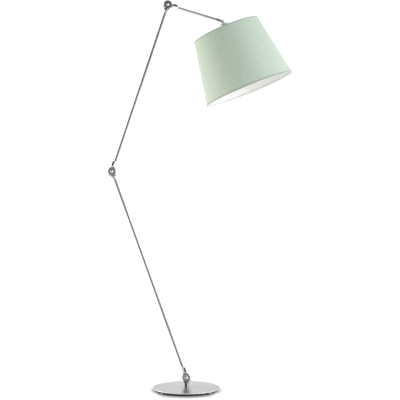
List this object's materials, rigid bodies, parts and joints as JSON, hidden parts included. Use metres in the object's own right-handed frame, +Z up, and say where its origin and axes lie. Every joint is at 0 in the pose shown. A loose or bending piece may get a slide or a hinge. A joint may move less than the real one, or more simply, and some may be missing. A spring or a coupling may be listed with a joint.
{
  "type": "adjustable arm floor lamp",
  "caption": "Floor lamp with a round weighted base, long tube arms joined by friction hinges, and a conical fabric shade that tilts at the end of the arm.",
  "frame": {"origin": "on the floor, below the middle of the stem and of the round base", "axes": "+Z up, +X towards the side the shade reaches out to, +Y towards the back; every arm lies in the plane Y = 0"},
  "size_m": [0.8292, 0.412, 1.7499],
  "materials": {
    "satin_steel": "satin, brushed round the middle",
    "cast_iron": "black paint on a sand-cast surface",
    "clear_rubber": "clear, slightly cloudy",
    "bright_nickel": "pale satin nickel plate",
    "nickel": "satin nickel plate",
    "nickel_tube": "satin nickel plate, brushed lengthways",
    "polished_nickel": "polished nickel plate",
    "dark_nickel": "dark nickel plate",
    "zinc_steel": "bright zinc plate",
    "dark_steel": "black oxide",
    "felt": "pressed felt",
    "fibre": "matte fibre sheet",
    "black_rubber": "matte",
    "black_plastic": "matte",
    "cable_sheath": "smooth cable sheath",
    "lampholder_plastic": "moulded, slightly glossy",
    "brass": "drawn",
    "frosted_glass": "frosted",
    "bulb_shell": "rolled thread",
    "white_wire": "white powder coat",
    "green_fabric": "fine plain weave, pale green",
    "white_liner": "matte white laminate"
  },
  "bodies": {
    "base": {"base_cover": "satin_steel", "base_weight": "cast_iron", "base_foot_1": "clear_rubber", "base_foot_2": "clear_rubber", "base_foot_3": "clear_rubber", "base_foot_4": "clear_rubber", "base_centre_pad": "felt", "stem": "dark_nickel", "stem_nipple": "zinc_steel", "stem_nut": "zinc_steel", "cable_gland": "black_plastic", "base_hinge_bolt": "polished_nickel", "base_hinge_friction_washer": "fibre", "base_hinge_spring_washer": "zinc_steel", "base_hinge_nut": "polished_nickel"},
    "base_tension_screw": {"base_hinge_tension_screw": "dark_nickel"},
    "lower_arm": {"lower_arm_start_socket": "bright_nickel", "lower_arm_wiring_cap": "black_rubber", "lower_arm_tube": "nickel_tube", "lower_arm_cable": "cable_sheath", "lower_arm_end_socket": "dark_nickel", "lower_arm_set_screws": "dark_steel", "elbow_bolt": "polished_nickel", "elbow_friction_washer": "fibre", "elbow_spring_washer": "zinc_steel", "elbow_nut": "polished_nickel"},
    "elbow_screw": {"elbow_tension_screw": "dark_nickel"},
    "upper_arm": {"upper_arm_start_socket": "bright_nickel", "upper_arm_wiring_cap": "black_rubber", "upper_arm_tube": "nickel_tube", "upper_arm_cable": "cable_sheath", "upper_arm_end_socket": "dark_nickel", "upper_arm_set_screws": "dark_steel", "top_hinge_bolt": "polished_nickel", "top_hinge_friction_washer": "fibre", "top_hinge_spring_washer": "zinc_steel", "top_hinge_nut": "polished_nickel"},
    "top_screw": {"top_hinge_tension_screw": "dark_nickel"},
    "head_arm": {"head_arm_start_socket": "bright_nickel", "head_arm_wiring_cap": "black_rubber", "head_arm_tube": "nickel_tube", "head_arm_cable": "cable_sheath", "head_arm_fork": "nickel", "head_arm_set_screws": "dark_steel", "tilt_screw": "nickel", "tilt_nut": "polished_nickel"},
    "shade": {"tilt_tab": "nickel", "lampholder_cap": "nickel", "lampholder_body": "lampholder_plastic", "lampholder_contacts": "brass", "shade_ring_upper": "lampholder_plastic", "shade_ring_lower": "lampholder_plastic", "bulb_globe": "frosted_glass", "bulb_base": "bulb_shell", "shade_spider": "white_wire", "shade_bottom_ring": "white_wire", "shade_cover": "green_fabric", "shade_liner": "white_liner"}
  },
  "joints": [
    {"name": "base_hinge", "type": "hinge", "parent": "base", "child": "lower_arm", "pos_m": [0, 0, 0.0554], "axis": [0, 1, 0], "range_deg": [-45, 45]},
    {"name": "elbow_hinge", "type": "hinge", "parent": "lower_arm", "child": "upper_arm", "pos_m": [-0.33421, 0, 0.98218], "axis": [0, 1, 0], "range_deg": [-38, 77]},
    {"name": "top_hinge", "type": "hinge", "parent": "upper_arm", "child": "head_arm", "pos_m": [-0.08262, 0, 1.73105], "axis": [0, 1, 0], "range_deg": [-60, 35]},
    {"name": "shade_tilt", "type": "hinge", "parent": "head_arm", "child": "shade", "pos_m": [0.16191, 0, 1.65699], "axis": [0, -1, 0], "range_deg": [-40, 50]},
    {"name": "base_tension_turn", "type": "hinge", "parent": "base", "child": "base_tension_screw", "pos_m": [0.01576, -0.0048, 0.04309], "axis": [0.788, 0, -0.6157], "range_deg": [-180, 180]},
    {"name": "elbow_tension_turn", "type": "hinge", "parent": "lower_arm", "child": "elbow_screw", "pos_m": [-0.34486, -0.0048, 0.96525], "axis": [-0.5324, 0, -0.8465], "range_deg": [-180, 180]},
    {"name": "top_tension_turn", "type": "hinge", "parent": "upper_arm", "child": "top_screw", "pos_m": [-0.10149, -0.0048, 1.7244], "axis": [-0.943, 0, -0.3327], "range_deg": [-180, 180]}
  ]
}
